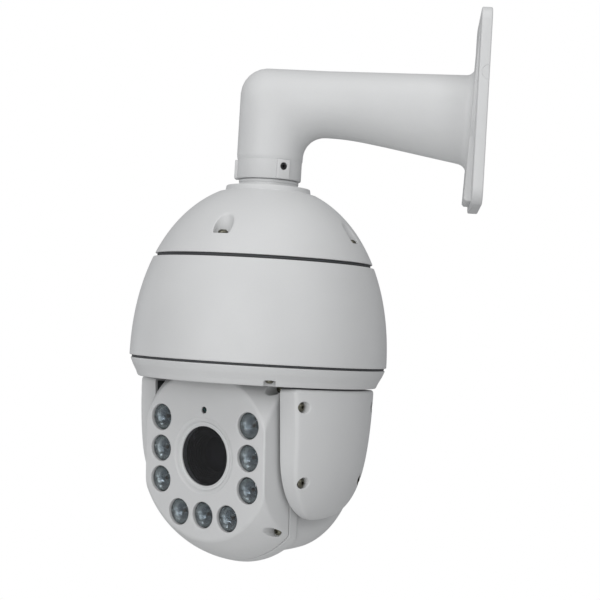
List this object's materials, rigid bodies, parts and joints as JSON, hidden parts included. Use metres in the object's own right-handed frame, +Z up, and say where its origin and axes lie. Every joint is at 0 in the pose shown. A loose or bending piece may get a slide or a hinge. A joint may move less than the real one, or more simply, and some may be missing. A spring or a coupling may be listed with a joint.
{
  "type": "ptz camera",
  "caption": "Outdoor pan-tilt-zoom dome camera with infrared lamps, hung from a cast gooseneck wall bracket.",
  "frame": {"origin": "centre of the wall plate's back face", "axes": "+Y into the wall, +Z up, the arm runs towards -Y; +X is to the side the camera mostly looks"},
  "size_m": [0.2268, 0.3004, 0.4888],
  "materials": {
    "paint": "satin light grey-white powder coat",
    "screw": "passivated steel",
    "set_screw": "black oxide",
    "gasket": "matt black",
    "belt": "matt black",
    "steel": "ground",
    "frame_alloy": "as cast",
    "motor_case": "semi-gloss black",
    "circuit_board": "green solder mask",
    "black_plastic": "matt black",
    "window_ring": "satin white",
    "window_glass": "coated clear glass",
    "lamp_lens": "polished dark lens",
    "sensor_lens": "dark translucent dome"
  },
  "bodies": {
    "housing": {"body_shell": "paint", "chin_gasket": "gasket", "chin_ring": "paint", "chin_screw_1": "screw", "chin_screw_2": "screw", "chin_screw_3": "screw", "collar_set_screw_1": "set_screw", "collar_set_screw_2": "set_screw", "collar_set_screw_3": "set_screw", "cover_gasket": "gasket", "cover_screw_1": "screw", "cover_screw_2": "screw", "cover_screw_3": "screw", "cover_screw_4": "screw", "main_board": "circuit_board", "neck_adapter": "paint", "pan_bearing": "steel", "pan_belt": "belt", "pan_deck": "frame_alloy", "pan_motor": "motor_case", "slip_ring": "black_plastic", "top_cover": "paint", "wall_bracket": "paint"},
    "pan_unit": {"pan_hub": "frame_alloy", "yoke_frame": "frame_alloy", "left_arm_cover": "paint", "right_arm_cover": "paint", "left_tilt_bearing": "steel", "right_tilt_bearing": "steel", "tilt_motor": "motor_case", "tilt_belt": "belt", "left_cover_screw_1": "screw", "left_cover_screw_2": "screw", "left_cover_screw_3": "screw", "left_cover_screw_4": "screw", "right_cover_screw_1": "screw", "right_cover_screw_2": "screw", "right_cover_screw_3": "screw", "right_cover_screw_4": "screw"},
    "head": {"front_bezel": "paint", "head_gasket": "gasket", "back_shell": "paint", "window_ring": "window_ring", "window_glass": "window_glass", "camera_block": "black_plastic", "lens_barrel": "black_plastic", "lamp_board": "circuit_board", "left_lamp_lenses": "lamp_lens", "right_lamp_lenses": "lamp_lens", "bottom_lamp_lenses": "lamp_lens", "light_sensor": "sensor_lens", "tilt_pulley": "steel", "bezel_screw_1": "screw", "bezel_screw_2": "screw", "bezel_screw_3": "screw", "bezel_screw_4": "screw"},
    "zoom_cell": {"zoom_group": "black_plastic"},
    "pan_motor_shaft": {"pan_motor_pulley": "steel"},
    "tilt_motor_shaft": {"tilt_motor_pulley": "steel"}
  },
  "joints": [
    {"name": "pan", "type": "hinge", "parent": "housing", "child": "pan_unit", "pos_m": [0, -0.187, -0.3063], "axis": [0, 0, 1], "continuous": true},
    {"name": "tilt", "type": "hinge", "parent": "pan_unit", "child": "head", "pos_m": [0, -0.187, -0.3063], "axis": [0.553, 0.8332, 0], "range_deg": [-3.84, 86.16]},
    {"name": "zoom", "type": "slide", "parent": "head", "child": "zoom_cell", "axis": [0.8313, -0.5517, -0.067], "range_m": [-0.014, 0.012]},
    {"name": "pan_motor_spin", "type": "hinge", "parent": "housing", "child": "pan_motor_shaft", "pos_m": [-0.0262, -0.13081, -0.1405], "axis": [0, 0, 1], "continuous": true},
    {"name": "tilt_motor_spin", "type": "hinge", "parent": "pan_unit", "child": "tilt_motor_shaft", "pos_m": [0.05004, -0.11159, -0.269], "axis": [0.553, 0.8332, 0], "range_deg": [-11.52, 258.48]}
  ],
  "couplings": [
    {"joint": "pan_motor_spin", "follows": "pan", "ratio": 3.6},
    {"joint": "tilt_motor_spin", "follows": "tilt", "ratio": 3}
  ]
}
